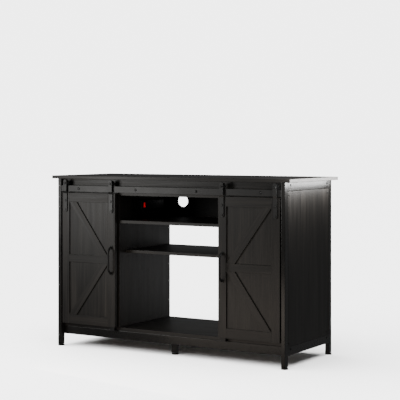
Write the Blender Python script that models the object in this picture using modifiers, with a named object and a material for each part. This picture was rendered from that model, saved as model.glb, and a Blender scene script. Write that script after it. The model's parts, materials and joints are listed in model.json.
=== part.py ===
"""Aquarium stand cabinet: a steel tube frame, black boards and two hanging barn doors.

Metres, +Z up. The origin is on the floor under the middle of the stand, +X is to the
right of someone who faces the doors, and the doors look towards -Y.
"""

import math

import bmesh
import bpy
from mathutils import Matrix, Vector

# ---------------------------------------------------------------- driving dimensions

GAP = 0.0003  # between two pieces that touch
SLEEVE = 0.0004  # around a bolt or a stem in its hole

# Steel frame
FRAME_WIDTH = 1.260
FRAME_DEPTH = 0.480
FRAME_TOP = 0.825
POST_WIDTH = 0.020  # along X
POST_DEPTH = 0.030  # along Y
TUBE_WALL = 0.0015
RAIL_HEIGHT = 0.040
BOTTOM_RAIL_DEPTH = 0.020
TOP_RAIL_DEPTH = 0.030
SIDE_RAIL_THICKNESS = 0.020
BOTTOM_RAIL_CLEARANCE = 0.057  # from the floor to the bottom rails
CENTRE_LEG_WIDTH = 0.030
CENTRE_LEG_DEPTH = 0.020
CENTRE_LEG_SETBACK = 0.079  # from the posts' front faces

# Levelling feet
FOOT_RADIUS = 0.016
FOOT_HEIGHT = 0.009
STEM_RADIUS = 0.004
STEM_LENGTH = 0.030
INSERT_HEIGHT = 0.016  # threaded insert that closes the bottom of each leg

# Boards
BOARD = 0.015
TOP_SIDE_OVERHANG = 0.029
TOP_END_OVERHANG = 0.010
FASCIA_HEIGHT = 0.077
CENTRE_BAY_WIDTH = 0.560
UPPER_SHELF_TOP = 0.629
MIDDLE_SHELF_TOP = 0.483
MIDDLE_SHELF_SETBACK = 0.054  # behind the partitions' front edges
CABINET_SHELF_TOP = 0.440
CABINET_SHELF_SETBACK = 0.030
BACK_PANEL = 0.0044
CABLE_HOLE_RADIUS = 0.030
CABLE_HOLE_INSET = 0.100  # from the left partition to the cable hole's middle
SHELF_PIN_RADIUS = 0.0025
SHELF_PIN_LENGTH = 0.008
SHELF_PIN_INSET = 0.060  # from a shelf's front or rear edge

# Track
TRACK_HEIGHT = 0.030
TRACK_THICKNESS = 0.005
TRACK_DROP = 0.033  # from the frame's top to the track's upper edge
TRACK_BOLT_SPACING = 0.336
TRACK_BOLT_COUNT = 4
BOLT_SHANK_RADIUS = 0.004
BOLT_HEAD_RADIUS = 0.0065
BOLT_HEAD_HEIGHT = 0.0035
CAP_NUT_HEIGHT = 0.0045
SPACER_RADIUS = 0.0075

# Doors
DOOR_WIDTH = 0.316
DOOR_THICKNESS = 0.018
DOOR_SETBACK = 0.002  # door face behind the posts' front faces
DOOR_POST_CLEARANCE = 0.007
DOOR_TRACK_CLEARANCE = 0.005
DOOR_FLOOR_CLEARANCE = 0.002
STILE_WIDTH = 0.042
DOOR_RAIL_HEIGHT = 0.045
MID_RAIL_HEIGHT = 0.036
BRACE_WIDTH = 0.044  # measured level, along a rail
RECESS = 0.006
GUIDE_GROOVE_WIDTH = 0.005
GUIDE_GROOVE_DEPTH = 0.009

# Hangers and wheels
STRAP_WIDTH = 0.020
STRAP_THICKNESS = 0.005
STRAP_TOP_CLEARANCE = 0.003  # under the top board
STRAP_BELOW_DOOR_TOP = 0.094
STRAP_INSET = 0.0215  # from a door's edge to the strap's middle
CRANK_OFFSET = 0.005
CRANK_RISE = 0.012
STRAP_BOLT_RADIUS = 0.0055
STRAP_BOLT_HEIGHT = 0.003
STRAP_BOLT_PITCH = 0.045
WHEEL_ROLLING_RADIUS = 0.011
WHEEL_FLANGE = 0.004
WHEEL_WIDTH = 0.010
WHEEL_SIDE_CLEARANCE = 0.0006  # between the groove and each face of the track

# Handles
HANDLE_REACH = 0.030
HANDLE_SPACING = 0.126  # between its two feet
HANDLE_SLOPE = 0.018  # height that each sloping end takes
HANDLE_RADIUS = 0.0048
HANDLE_FOOT_RADIUS = 0.009
HANDLE_FOOT_HEIGHT = 0.003

# Door guides
GUIDE_WIDTH = 0.026
GUIDE_BASE_HEIGHT = 0.010
GUIDE_FIN_THICKNESS = 0.0035
GUIDE_FIN_HEIGHT = 0.006  # above the door's lower edge

# Power strip
STRIP_LENGTH = 0.200
STRIP_HEIGHT = 0.046
STRIP_THICKNESS = 0.028
STRIP_MIDDLE_Z = 0.695
STRIP_CABLE_ROOM = 0.0553  # between the strip's gland and the back panel
ROCKER_INSET = 0.023  # from the strip's front end to the rocker's middle
ROCKER_WIDTH = 0.0114
ROCKER_HEIGHT = 0.022
ROCKER_LIP = 0.0045  # from the pivot out to each end of its face
ROCKER_HOLLOW = 0.003  # from the pivot out to the middle of its face
ROCKER_BACK = 0.003  # from the pivot in to its back
ROCKER_SUNK = 0.002  # pivot below the strip's face
ROCKER_TILT = math.radians(8)
OUTLET_COUNT = 3
OUTLET_PITCH = 0.048
OUTLET_WIDTH = 0.034
OUTLET_HEIGHT = 0.030
OUTLET_RECESS = 0.0015
GLAND_RADIUS = 0.006
GLAND_LENGTH = 0.010

# ---------------------------------------------------------------- places that follow

FRAME_X = FRAME_WIDTH / 2
POST_INNER_X = FRAME_X - POST_WIDTH
SIDE_PANEL_INNER_X = FRAME_X - BOARD
FRONT_REACH = HANDLE_REACH - DOOR_SETBACK
FRONT = -(FRAME_DEPTH + TOP_END_OVERHANG - FRONT_REACH) / 2  # posts' front faces
REAR = FRONT + FRAME_DEPTH
FRONT_INSIDE = FRONT + POST_DEPTH  # rear faces of the front posts
REAR_INSIDE = REAR - POST_DEPTH  # front faces of the rear posts
LEG_BOTTOM = FOOT_HEIGHT + GAP
BOTTOM_RAIL_TOP = BOTTOM_RAIL_CLEARANCE + RAIL_HEIGHT
TOP_RAIL_BOTTOM = FRAME_TOP - RAIL_HEIGHT
BOTTOM_PANEL_BOTTOM = BOTTOM_RAIL_TOP + GAP
FLOOR_TOP = BOTTOM_PANEL_BOTTOM + BOARD  # upper face of the bottom panel
FASCIA_FRONT = FRONT_INSIDE
FASCIA_REAR = FASCIA_FRONT + BOARD
FASCIA_BOTTOM = FRAME_TOP - FASCIA_HEIGHT
FRONT_TOP_RAIL_Y = FASCIA_REAR + GAP
BACK_PANEL_FRONT = REAR_INSIDE - GAP - BACK_PANEL
REAR_TOP_RAIL_Y = BACK_PANEL_FRONT - GAP - TOP_RAIL_DEPTH
BAY_X = CENTRE_BAY_WIDTH / 2  # inner faces of the partitions
PARTITION_OUTER_X = BAY_X + BOARD

DOOR_FACE = FRONT + DOOR_SETBACK
DOOR_BACK = DOOR_FACE + DOOR_THICKNESS
DOOR_OUTER_X = POST_INNER_X - DOOR_POST_CLEARANCE
DOOR_INNER_X = DOOR_OUTER_X - DOOR_WIDTH
TRACK_TOP = FRAME_TOP - TRACK_DROP
TRACK_BOTTOM = TRACK_TOP - TRACK_HEIGHT
TRACK_FRONT = DOOR_FACE
TRACK_MIDDLE_Y = TRACK_FRONT + TRACK_THICKNESS / 2
DOOR_TOP = TRACK_BOTTOM - DOOR_TRACK_CLEARANCE
DOOR_BOTTOM = FLOOR_TOP + DOOR_FLOOR_CLEARANCE
DOOR_MIDDLE_Z = (DOOR_TOP + DOOR_BOTTOM) / 2
AXLE_Z = TRACK_TOP + GAP + WHEEL_ROLLING_RADIUS
STRAP_LOWER_BACK = DOOR_FACE - GAP
STRAP_UPPER_BACK = STRAP_LOWER_BACK - CRANK_OFFSET
STRAP_TOP = FRAME_TOP - STRAP_TOP_CLEARANCE
STRAP_BOTTOM = DOOR_TOP - STRAP_BELOW_DOOR_TOP
OUTER_STRAP_X = DOOR_OUTER_X - STRAP_INSET
INNER_STRAP_X = DOOR_INNER_X + STRAP_INSET  # also the handle's and the door guide's line

ROUND_STEPS = 20
LEFT = -1
RIGHT = 1
SIDE_NAMES = {LEFT: "left", RIGHT: "right"}


# ---------------------------------------------------------------- scene and materials


def clear_scene():
    for obj in list(bpy.data.objects):
        bpy.data.objects.remove(obj)


def new_collection(name):
    made = bpy.data.collections.new(name)
    bpy.context.scene.collection.children.link(made)
    return made


def new_material(name, colour, roughness, metallic=0.0):
    made = bpy.data.materials.new(name)
    made.use_nodes = True
    shader = made.node_tree.nodes["Principled BSDF"]
    shader.inputs["Base Color"].default_value = (*colour, 1.0)
    shader.inputs["Roughness"].default_value = roughness
    shader.inputs["Metallic"].default_value = metallic
    return made


clear_scene()
PARTS = new_collection("aquarium_stand_cabinet")
CUTTERS = new_collection("cutters")
STEEL = new_material("powder_coated_steel", (0.022, 0.021, 0.020), 0.45, 0.2)
WOOD = new_material("black_wood_grain", (0.040, 0.036, 0.032), 0.55)
BACKING = new_material("black_hardboard", (0.025, 0.024, 0.023), 0.7)
HARDWARE = new_material("black_steel_hardware", (0.016, 0.016, 0.016), 0.35, 0.4)
NYLON = new_material("black_nylon", (0.018, 0.018, 0.018), 0.5)
PLASTIC = new_material("black_plastic", (0.020, 0.020, 0.020), 0.4)
ROCKER_RED = new_material("lit_red_rocker", (0.65, 0.010, 0.015), 0.3)

# ---------------------------------------------------------------- shape helpers


def place(mesh, name, material, location, parent=None):
    """Put a mesh in the object's collection at a world place."""
    mesh.materials.append(material)
    obj = bpy.data.objects.new(name, mesh)
    PARTS.objects.link(obj)
    obj.location = location
    if parent is not None:
        obj.parent = parent
        obj.matrix_parent_inverse = Matrix.Translation(parent.location).inverted()
    return obj


def tool_object(mesh, name, location):
    """Put a mesh in the cutters' collection, as a tool for a Boolean."""
    obj = bpy.data.objects.new(name, mesh)
    CUTTERS.objects.link(obj)
    obj.location = location
    obj.hide_render = True
    obj.display_type = "WIRE"
    return obj


def box_mesh(name, size):
    mesh = bpy.data.meshes.new(name)
    work = bmesh.new()
    bmesh.ops.create_cube(work, size=1.0)
    bmesh.ops.scale(work, vec=size, verts=work.verts)
    work.to_mesh(mesh)
    work.free()
    return mesh


def span(low, high):
    """Size and middle of a box between two corners."""
    size = Vector(high) - Vector(low)
    return size, Vector(low) + size / 2


def box(name, low, high, material, parent=None):
    size, middle = span(low, high)
    return place(box_mesh(name, size), name, material, middle, parent)


def box_tool(name, low, high):
    size, middle = span(low, high)
    return tool_object(box_mesh(name, size), name, middle)


AXIS_TURNS = {
    "X": Matrix.Rotation(math.pi / 2, 4, "Y"),
    "Y": Matrix.Rotation(-math.pi / 2, 4, "X"),
    "Z": Matrix.Identity(4),
}


def cylinder_tool(name, start, length, radius, axis):
    """A cylinder that starts at a point and runs along +X, +Y or +Z."""
    mesh = bpy.data.meshes.new(name)
    work = bmesh.new()
    move = Matrix.Translation((0, 0, length / 2))
    bmesh.ops.create_cone(
        work,
        cap_ends=True,
        segments=ROUND_STEPS,
        radius1=radius,
        radius2=radius,
        depth=length,
        matrix=AXIS_TURNS[axis] @ move,
    )
    work.to_mesh(mesh)
    work.free()
    return tool_object(mesh, name, start)


def boolean(target, tool, operation):
    modifier = target.modifiers.new(f"{operation.lower()}_{tool.name}", "BOOLEAN")
    modifier.operation = operation
    modifier.object = tool
    modifier.solver = "EXACT"


def cut(target, tool):
    boolean(target, tool, "DIFFERENCE")


def join(target, tool):
    boolean(target, tool, "UNION")


def mesh_from_curve(curve, name):
    """Closed mesh of a filled curve, with its caps welded on."""
    holder = bpy.data.objects.new(name, curve)
    CUTTERS.objects.link(holder)
    graph = bpy.context.evaluated_depsgraph_get()
    mesh = bpy.data.meshes.new_from_object(holder.evaluated_get(graph))
    bpy.data.objects.remove(holder)
    mesh.name = name
    mesh.materials.clear()
    work = bmesh.new()
    work.from_mesh(mesh)
    bmesh.ops.remove_doubles(work, verts=work.verts, dist=0.00001)
    work.to_mesh(mesh)
    work.free()
    return mesh


OUTLINE_PLANES = {
    "XY": Matrix.Identity(3),
    "XZ": Matrix(((1, 0, 0), (0, 0, -1), (0, 1, 0))),
    "YZ": Matrix(((0, 0, 1), (1, 0, 0), (0, 1, 0))),
}


def prism_mesh(name, outline, plane, thickness, holes=()):
    """A flat outline in one plane, less its holes, thickened equally to both sides of it."""
    curve = bpy.data.curves.new(name, "CURVE")
    curve.dimensions = "2D"
    curve.fill_mode = "BOTH"
    curve.extrude = thickness / 2
    for loop in (outline, *holes):
        spline = curve.splines.new("POLY")
        spline.points.add(len(loop) - 1)
        for point, (across, up) in zip(spline.points, loop):
            point.co = (across, up, 0, 1)
        spline.use_cyclic_u = True
    mesh = mesh_from_curve(curve, name)
    mesh.transform(OUTLINE_PLANES[plane].to_4x4())
    return mesh


def turned_mesh_object(name, profile, axis, location, material, parent=None):
    """A profile of (radius, height) pairs turned around +X, +Y or +Z."""
    mesh = bpy.data.meshes.new(name)
    turn = AXIS_TURNS[axis]
    points = [turn @ Vector((radius, 0, height)) for radius, height in profile]
    count = len(points)
    closed_ring = profile[0][0] > 0
    pairs = [(i, i + 1) for i in range(count - 1)]
    if closed_ring:
        pairs.append((count - 1, 0))
    mesh.from_pydata(points, pairs, [])
    obj = place(mesh, name, material, location, parent)
    screw = obj.modifiers.new("turn", "SCREW")
    screw.axis = axis
    screw.steps = ROUND_STEPS
    screw.render_steps = ROUND_STEPS
    screw.use_merge_vertices = True
    screw.merge_threshold = 0.00001
    screw.use_smooth_shade = True
    return obj


def arc(middle, radius, start, end, steps):
    """Points on an arc, angles in degrees."""
    points = []
    for i in range(steps + 1):
        angle = math.radians(start + (end - start) * i / steps)
        across = middle[0] + radius * math.cos(angle)
        up = middle[1] + radius * math.sin(angle)
        points.append((across, up))
    return points


# ---------------------------------------------------------------- steel frame


def tube(name, low, high, run):
    """A square-cornered tube that is open at both ends; run is 0 for X, 1 for Y."""
    obj = box(name, low, high, STEEL)
    inner_low = [value + TUBE_WALL for value in low]
    inner_high = [value - TUBE_WALL for value in high]
    inner_low[run] = low[run] - TUBE_WALL
    inner_high[run] = high[run] + TUBE_WALL
    cut(obj, box_tool(f"bore_{name}", inner_low, inner_high))


def leg(name, low_xy, high_xy, top):
    """An upright tube whose lower end is closed by the insert that takes a foot."""
    obj = box(name, (*low_xy, LEG_BOTTOM), (*high_xy, top), STEEL)
    inner_low = (low_xy[0] + TUBE_WALL, low_xy[1] + TUBE_WALL, LEG_BOTTOM + INSERT_HEIGHT)
    inner_high = (high_xy[0] - TUBE_WALL, high_xy[1] - TUBE_WALL, top + TUBE_WALL)
    cut(obj, box_tool(f"bore_{name}", inner_low, inner_high))
    middle = ((low_xy[0] + high_xy[0]) / 2, (low_xy[1] + high_xy[1]) / 2)
    start = (*middle, LEG_BOTTOM - INSERT_HEIGHT / 2)
    cut(obj, cylinder_tool(f"thread_{name}", start, INSERT_HEIGHT * 2, STEM_RADIUS + SLEEVE, "Z"))
    return middle


def levelling_foot(name, middle):
    """A round pad on a threaded stem, screwed fully in."""
    profile = [
        (0, FOOT_HEIGHT + STEM_LENGTH),
        (STEM_RADIUS, FOOT_HEIGHT + STEM_LENGTH),
        (STEM_RADIUS, FOOT_HEIGHT),
        (FOOT_RADIUS * 0.94, FOOT_HEIGHT),
        (FOOT_RADIUS, FOOT_HEIGHT * 0.8),
        (FOOT_RADIUS, FOOT_HEIGHT * 0.1),
        (FOOT_RADIUS * 0.96, 0),
        (0, 0),
    ]
    turned_mesh_object(name, profile, "Z", (*middle, 0), NYLON)


def posts_and_corner_feet():
    for side in (LEFT, RIGHT):
        x_low, x_high = sorted((side * FRAME_X, side * POST_INNER_X))
        for end, y_low in (("front", FRONT), ("rear", REAR_INSIDE)):
            name = f"{end}_{SIDE_NAMES[side]}"
            high = (x_high, y_low + POST_DEPTH)
            middle = leg(f"{name}_post", (x_low, y_low), high, FRAME_TOP)
            levelling_foot(f"{name}_foot", middle)


def side_rails():
    for side in (LEFT, RIGHT):
        x_low, x_high = sorted((side * FRAME_X, side * (FRAME_X - SIDE_RAIL_THICKNESS)))
        for level, z_low in (("top", TOP_RAIL_BOTTOM), ("bottom", BOTTOM_RAIL_CLEARANCE)):
            low = (x_low, FRONT_INSIDE + GAP, z_low)
            high = (x_high, REAR_INSIDE - GAP, z_low + RAIL_HEIGHT)
            tube(f"{SIDE_NAMES[side]}_{level}_side_rail", low, high, 1)


def long_rails():
    reach = FRAME_X - max(SIDE_RAIL_THICKNESS, POST_WIDTH) - GAP
    rails = (
        ("front_bottom_rail", FRONT_INSIDE + GAP, BOTTOM_RAIL_DEPTH, BOTTOM_RAIL_CLEARANCE),
        ("rear_bottom_rail", REAR_INSIDE - GAP - BOTTOM_RAIL_DEPTH, BOTTOM_RAIL_DEPTH,
         BOTTOM_RAIL_CLEARANCE),
        ("front_top_rail", FRONT_TOP_RAIL_Y, TOP_RAIL_DEPTH, TOP_RAIL_BOTTOM),
        ("rear_top_rail", REAR_TOP_RAIL_Y, TOP_RAIL_DEPTH, TOP_RAIL_BOTTOM),
    )
    for name, y_low, depth, z_low in rails:
        tube(name, (-reach, y_low, z_low), (reach, y_low + depth, z_low + RAIL_HEIGHT), 0)


def centre_support():
    """The bar under the middle of the floor, with its two short legs."""
    half = CENTRE_LEG_WIDTH / 2
    bar_front = FRONT_INSIDE + BOTTOM_RAIL_DEPTH + 2 * GAP
    bar_rear = REAR_INSIDE - BOTTOM_RAIL_DEPTH - 2 * GAP
    low = (-half, bar_front, BOTTOM_RAIL_CLEARANCE)
    tube("centre_cross_bar", low, (half, bar_rear, BOTTOM_RAIL_TOP), 1)
    setbacks = (
        ("centre_front", FRONT + CENTRE_LEG_SETBACK),
        ("centre_rear", REAR - CENTRE_LEG_SETBACK - CENTRE_LEG_DEPTH),
    )
    for name, y_low in setbacks:
        top = BOTTOM_RAIL_CLEARANCE - GAP
        middle = leg(f"{name}_leg", (-half, y_low), (half, y_low + CENTRE_LEG_DEPTH), top)
        levelling_foot(f"{name}_foot", middle)


# ---------------------------------------------------------------- boards


def top_board():
    half = FRAME_X + TOP_SIDE_OVERHANG
    bottom = FRAME_TOP + GAP
    low = (-half, FRONT - TOP_END_OVERHANG, bottom)
    box("top_board", low, (half, REAR + TOP_END_OVERHANG, bottom + BOARD), WOOD)


def track_bolt_places():
    first = -TRACK_BOLT_SPACING * (TRACK_BOLT_COUNT - 1) / 2
    return [first + TRACK_BOLT_SPACING * i for i in range(TRACK_BOLT_COUNT)]


def bolted_bar_mesh(name, bottom, top, thickness):
    """A bar or board between the front posts, drilled for the track's bolts, as X and Z."""
    half = POST_INNER_X - GAP
    outline = [(-half, bottom), (half, bottom), (half, top), (-half, top)]
    radius = BOLT_SHANK_RADIUS + SLEEVE
    z = TRACK_BOTTOM + TRACK_HEIGHT / 2
    holes = [arc((x, z), radius, 0, 360, ROUND_STEPS)[:-1] for x in track_bolt_places()]
    return prism_mesh(name, outline, "XZ", thickness, holes)


def fascia_board():
    mesh = bolted_bar_mesh("fascia_board", FASCIA_BOTTOM, FRAME_TOP, BOARD)
    place(mesh, "fascia_board", WOOD, (0, FASCIA_FRONT + BOARD / 2, 0))


def bottom_panel():
    """The cabinet's floor; its rear corners are notched around the rear posts."""
    wide = SIDE_PANEL_INNER_X - GAP
    narrow = POST_INNER_X - GAP
    notch = REAR_INSIDE - GAP
    outline = [
        (-wide, FRONT_INSIDE + GAP),
        (wide, FRONT_INSIDE + GAP),
        (wide, notch),
        (narrow, notch),
        (narrow, REAR),
        (-narrow, REAR),
        (-narrow, notch),
        (-wide, notch),
    ]
    mesh = prism_mesh("bottom_panel", outline, "XY", BOARD)
    place(mesh, "bottom_panel", WOOD, (0, 0, BOTTOM_PANEL_BOTTOM + BOARD / 2))


def shelf_pins(board, name, face_x, direction, shelf_top, front, rear):
    """Two pins that stand out of a board's face under a shelf."""
    z = shelf_top - BOARD - GAP - SHELF_PIN_RADIUS
    root = BOARD / 3
    start_x = face_x - root if direction > 0 else face_x - SHELF_PIN_LENGTH
    for end, y in (("front", front + SHELF_PIN_INSET), ("rear", rear - SHELF_PIN_INSET)):
        tool_name = f"pin_{name}_{end}"
        length = SHELF_PIN_LENGTH + root
        pin = cylinder_tool(tool_name, (start_x, y, z), length, SHELF_PIN_RADIUS, "X")
        join(board, pin)


def side_panels():
    for side in (LEFT, RIGHT):
        x_low, x_high = sorted((side * FRAME_X, side * SIDE_PANEL_INNER_X))
        low = (x_low, FRONT_INSIDE + GAP, BOTTOM_RAIL_TOP + GAP)
        high = (x_high, REAR_INSIDE - GAP, TOP_RAIL_BOTTOM - GAP)
        name = f"{SIDE_NAMES[side]}_side_panel"
        panel = box(name, low, high, WOOD)
        shelf_pins(panel, name, side * SIDE_PANEL_INNER_X, -side, CABINET_SHELF_TOP,
                   *cabinet_shelf_span())


def partition_outline():
    """Side view of a partition, notched around the fascia and both top rails."""
    bottom = FLOOR_TOP + GAP
    top = FRAME_TOP
    under_rail = TOP_RAIL_BOTTOM - GAP
    return [
        (FRONT_INSIDE, bottom),
        (REAR, bottom),
        (REAR, top),
        (REAR_TOP_RAIL_Y + TOP_RAIL_DEPTH + GAP, top),
        (REAR_TOP_RAIL_Y + TOP_RAIL_DEPTH + GAP, under_rail),
        (REAR_TOP_RAIL_Y - GAP, under_rail),
        (REAR_TOP_RAIL_Y - GAP, top),
        (FRONT_TOP_RAIL_Y + TOP_RAIL_DEPTH + GAP, top),
        (FRONT_TOP_RAIL_Y + TOP_RAIL_DEPTH + GAP, under_rail),
        (FASCIA_REAR + GAP, under_rail),
        (FASCIA_REAR + GAP, FASCIA_BOTTOM - GAP),
        (FRONT_INSIDE, FASCIA_BOTTOM - GAP),
    ]


def partitions():
    for side in (LEFT, RIGHT):
        name = f"{SIDE_NAMES[side]}_partition"
        mesh = prism_mesh(name, partition_outline(), "YZ", BOARD)
        board = place(mesh, name, WOOD, (side * (BAY_X + BOARD / 2), 0, 0))
        shelf_pins(board, f"{name}_bay", side * BAY_X, -side, MIDDLE_SHELF_TOP,
                   *middle_shelf_span())
        shelf_pins(board, f"{name}_cabinet", side * PARTITION_OUTER_X, side, CABINET_SHELF_TOP,
                   *cabinet_shelf_span())


def middle_shelf_span():
    return FRONT_INSIDE + MIDDLE_SHELF_SETBACK, REAR


def cabinet_shelf_span():
    return FRONT_INSIDE + CABINET_SHELF_SETBACK, BACK_PANEL_FRONT - GAP


def shelves():
    half = BAY_X - GAP
    top = UPPER_SHELF_TOP
    box("upper_shelf", (-half, FRONT_INSIDE, top - BOARD), (half, REAR, top), WOOD)
    front, rear = middle_shelf_span()
    top = MIDDLE_SHELF_TOP
    box("middle_shelf", (-half, front, top - BOARD), (half, rear, top), WOOD)
    front, rear = cabinet_shelf_span()
    top = CABINET_SHELF_TOP
    for side in (LEFT, RIGHT):
        ends = (side * (PARTITION_OUTER_X + GAP), side * (SIDE_PANEL_INNER_X - GAP))
        low = (min(ends), front, top - BOARD)
        box(f"{SIDE_NAMES[side]}_cabinet_shelf", low, (max(ends), rear, top), WOOD)


def back_panels():
    rear = BACK_PANEL_FRONT + BACK_PANEL
    for side in (LEFT, RIGHT):
        ends = (side * (PARTITION_OUTER_X + GAP), side * (SIDE_PANEL_INNER_X - GAP))
        low = (min(ends), BACK_PANEL_FRONT, FLOOR_TOP + GAP)
        high = (max(ends), rear, TOP_RAIL_BOTTOM - GAP)
        box(f"{SIDE_NAMES[side]}_back_panel", low, high, BACKING)
    half = BAY_X - GAP
    bottom = UPPER_SHELF_TOP + GAP
    top = TOP_RAIL_BOTTOM - GAP
    obj = box("centre_back_panel", (-half, BACK_PANEL_FRONT, bottom), (half, rear, top), BACKING)
    start = (-BAY_X + CABLE_HOLE_INSET, BACK_PANEL_FRONT - BACK_PANEL, (bottom + top) / 2)
    cut(obj, cylinder_tool("cable_hole", start, BACK_PANEL * 3, CABLE_HOLE_RADIUS, "Y"))


# ---------------------------------------------------------------- track


def track_bar():
    mesh = bolted_bar_mesh("track_bar", TRACK_BOTTOM, TRACK_TOP, TRACK_THICKNESS)
    place(mesh, "track_bar", HARDWARE, (0, TRACK_MIDDLE_Y, 0))


def track_bolts():
    """Each bolt with the spacer that holds the track off the fascia."""
    head_back = -GAP
    spacer_front = TRACK_THICKNESS + GAP
    spacer_back = FASCIA_FRONT - TRACK_FRONT - GAP
    end = FASCIA_REAR - TRACK_FRONT - GAP
    profile = [
        (0, end),
        (BOLT_SHANK_RADIUS, end),
        (BOLT_SHANK_RADIUS, spacer_back),
        (SPACER_RADIUS, spacer_back),
        (SPACER_RADIUS, spacer_front),
        (BOLT_SHANK_RADIUS, spacer_front),
        (BOLT_SHANK_RADIUS, head_back),
        (BOLT_HEAD_RADIUS, head_back),
        (BOLT_HEAD_RADIUS * 0.8, head_back - BOLT_HEAD_HEIGHT * 0.7),
        (BOLT_HEAD_RADIUS * 0.4, head_back - BOLT_HEAD_HEIGHT),
        (0, head_back - BOLT_HEAD_HEIGHT),
    ]
    z = TRACK_BOTTOM + TRACK_HEIGHT / 2
    for number, x in enumerate(track_bolt_places(), 1):
        turned_mesh_object(f"track_bolt_{number}", profile, "Y", (x, TRACK_FRONT, z), HARDWARE)


# ---------------------------------------------------------------- doors


def door_pocket_outlines(side):
    """The four triangles that a door's frame and braces leave open, as X and Z."""
    outer = side * (DOOR_OUTER_X - STILE_WIDTH)
    inner = side * (DOOR_INNER_X + STILE_WIDTH)
    brace = -side * BRACE_WIDTH
    pockets = []
    for direction, rail in ((1, DOOR_TOP - DOOR_RAIL_HEIGHT), (-1, DOOR_BOTTOM + DOOR_RAIL_HEIGHT)):
        middle = DOOR_MIDDLE_Z + direction * MID_RAIL_HEIGHT / 2
        pockets.append([(outer + brace, rail), (inner, rail), (inner, middle)])
        pockets.append([(outer, rail), (inner - brace, middle), (outer, middle)])
    return pockets


def door_leaf(side, carrier):
    name = f"{SIDE_NAMES[side]}_door"
    ends = sorted((side * DOOR_OUTER_X, side * DOOR_INNER_X))
    low = (ends[0], DOOR_FACE, DOOR_BOTTOM)
    high = (ends[1], DOOR_BACK, DOOR_TOP)
    leaf = box(name, low, high, WOOD, carrier)
    for number, outline in enumerate(door_pocket_outlines(side), 1):
        mesh = prism_mesh(f"{name}_pocket_{number}", outline, "XZ", RECESS * 2)
        cut(leaf, tool_object(mesh, mesh.name, (0, DOOR_FACE, 0)))
    groove_y = (DOOR_FACE + DOOR_BACK) / 2
    half = GUIDE_GROOVE_WIDTH / 2
    low = (ends[0] - BOARD, groove_y - half, DOOR_BOTTOM - BOARD)
    high = (ends[1] + BOARD, groove_y + half, DOOR_BOTTOM + GUIDE_GROOVE_DEPTH)
    cut(leaf, box_tool(f"{name}_groove", low, high))


def strap_side_outline():
    """Side view of the cranked strap, as Y and Z."""
    crank_low = DOOR_TOP - CRANK_RISE / 3
    crank_high = crank_low + CRANK_RISE
    back = STRAP_LOWER_BACK
    upper = STRAP_UPPER_BACK
    thick = STRAP_THICKNESS
    return [
        (back, STRAP_BOTTOM),
        (back, crank_low),
        (upper, crank_high),
        (upper, STRAP_TOP),
        (upper - thick, STRAP_TOP),
        (upper - thick, crank_high),
        (back - thick, crank_low),
        (back - thick, STRAP_BOTTOM),
    ]


def strap_front_outline():
    """Front view of the strap with both ends round, as X and Z."""
    half = STRAP_WIDTH / 2
    top = arc((0, STRAP_TOP - half), half, 0, 180, 10)
    bottom = arc((0, STRAP_BOTTOM + half), half, 180, 360, 10)
    return top + bottom


def hanger(name, x, carrier):
    """Cranked strap with the heads of the two bolts that hold it to the door."""
    mesh = prism_mesh(name, strap_side_outline(), "YZ", STRAP_WIDTH)
    strap = place(mesh, name, HARDWARE, (x, 0, 0), carrier)
    depth = 6 * (STRAP_THICKNESS + CRANK_OFFSET)
    round_ends = prism_mesh(f"round_ends_{name}", strap_front_outline(), "XZ", depth)
    boolean(strap, tool_object(round_ends, round_ends.name, (x, DOOR_FACE, 0)), "INTERSECT")
    start = (x, STRAP_UPPER_BACK - 2 * STRAP_THICKNESS, AXLE_Z)
    radius = BOLT_SHANK_RADIUS + SLEEVE
    cut(strap, cylinder_tool(f"axle_hole_{name}", start, 3 * STRAP_THICKNESS, radius, "Y"))
    face = STRAP_LOWER_BACK - STRAP_THICKNESS
    for number in range(2):
        z = STRAP_BOTTOM + STRAP_WIDTH / 2 + number * STRAP_BOLT_PITCH
        length = STRAP_BOLT_HEIGHT + STRAP_THICKNESS / 2
        start = (x, face - STRAP_BOLT_HEIGHT, z)
        tool_name = f"fixing_bolt_{number + 1}_{name}"
        join(strap, cylinder_tool(tool_name, start, length, STRAP_BOLT_RADIUS, "Y"))


def axle_bolt(name, x, carrier):
    """The wheel's axle: a bolt through strap and wheel, with a cap nut behind."""
    head_back = STRAP_UPPER_BACK - STRAP_THICKNESS - GAP - TRACK_MIDDLE_Y
    nut_front = WHEEL_WIDTH / 2 + GAP
    nut = CAP_NUT_HEIGHT
    profile = [
        (0, nut_front + nut),
        (BOLT_HEAD_RADIUS * 0.6, nut_front + nut * 0.9),
        (BOLT_HEAD_RADIUS, nut_front + nut * 0.5),
        (BOLT_HEAD_RADIUS, nut_front),
        (BOLT_SHANK_RADIUS, nut_front),
        (BOLT_SHANK_RADIUS, head_back),
        (BOLT_HEAD_RADIUS, head_back),
        (BOLT_HEAD_RADIUS * 0.8, head_back - BOLT_HEAD_HEIGHT * 0.7),
        (BOLT_HEAD_RADIUS * 0.4, head_back - BOLT_HEAD_HEIGHT),
        (0, head_back - BOLT_HEAD_HEIGHT),
    ]
    turned_mesh_object(name, profile, "Y", (x, TRACK_MIDDLE_Y, AXLE_Z), HARDWARE, carrier)


def wheel(name, x, carrier):
    """A grooved wheel that straddles the track's upper edge."""
    half = WHEEL_WIDTH / 2
    groove = TRACK_THICKNESS / 2 + WHEEL_SIDE_CLEARANCE
    bore = BOLT_SHANK_RADIUS + SLEEVE
    rim = WHEEL_ROLLING_RADIUS + WHEEL_FLANGE
    profile = [
        (bore, half),
        (rim, half),
        (rim, groove + (half - groove) / 2),
        (WHEEL_ROLLING_RADIUS, groove),
        (WHEEL_ROLLING_RADIUS, -groove),
        (rim, -groove - (half - groove) / 2),
        (rim, -half),
        (bore, -half),
    ]
    turned_mesh_object(name, profile, "Y", (x, TRACK_MIDDLE_Y, AXLE_Z), NYLON, carrier)


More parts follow.
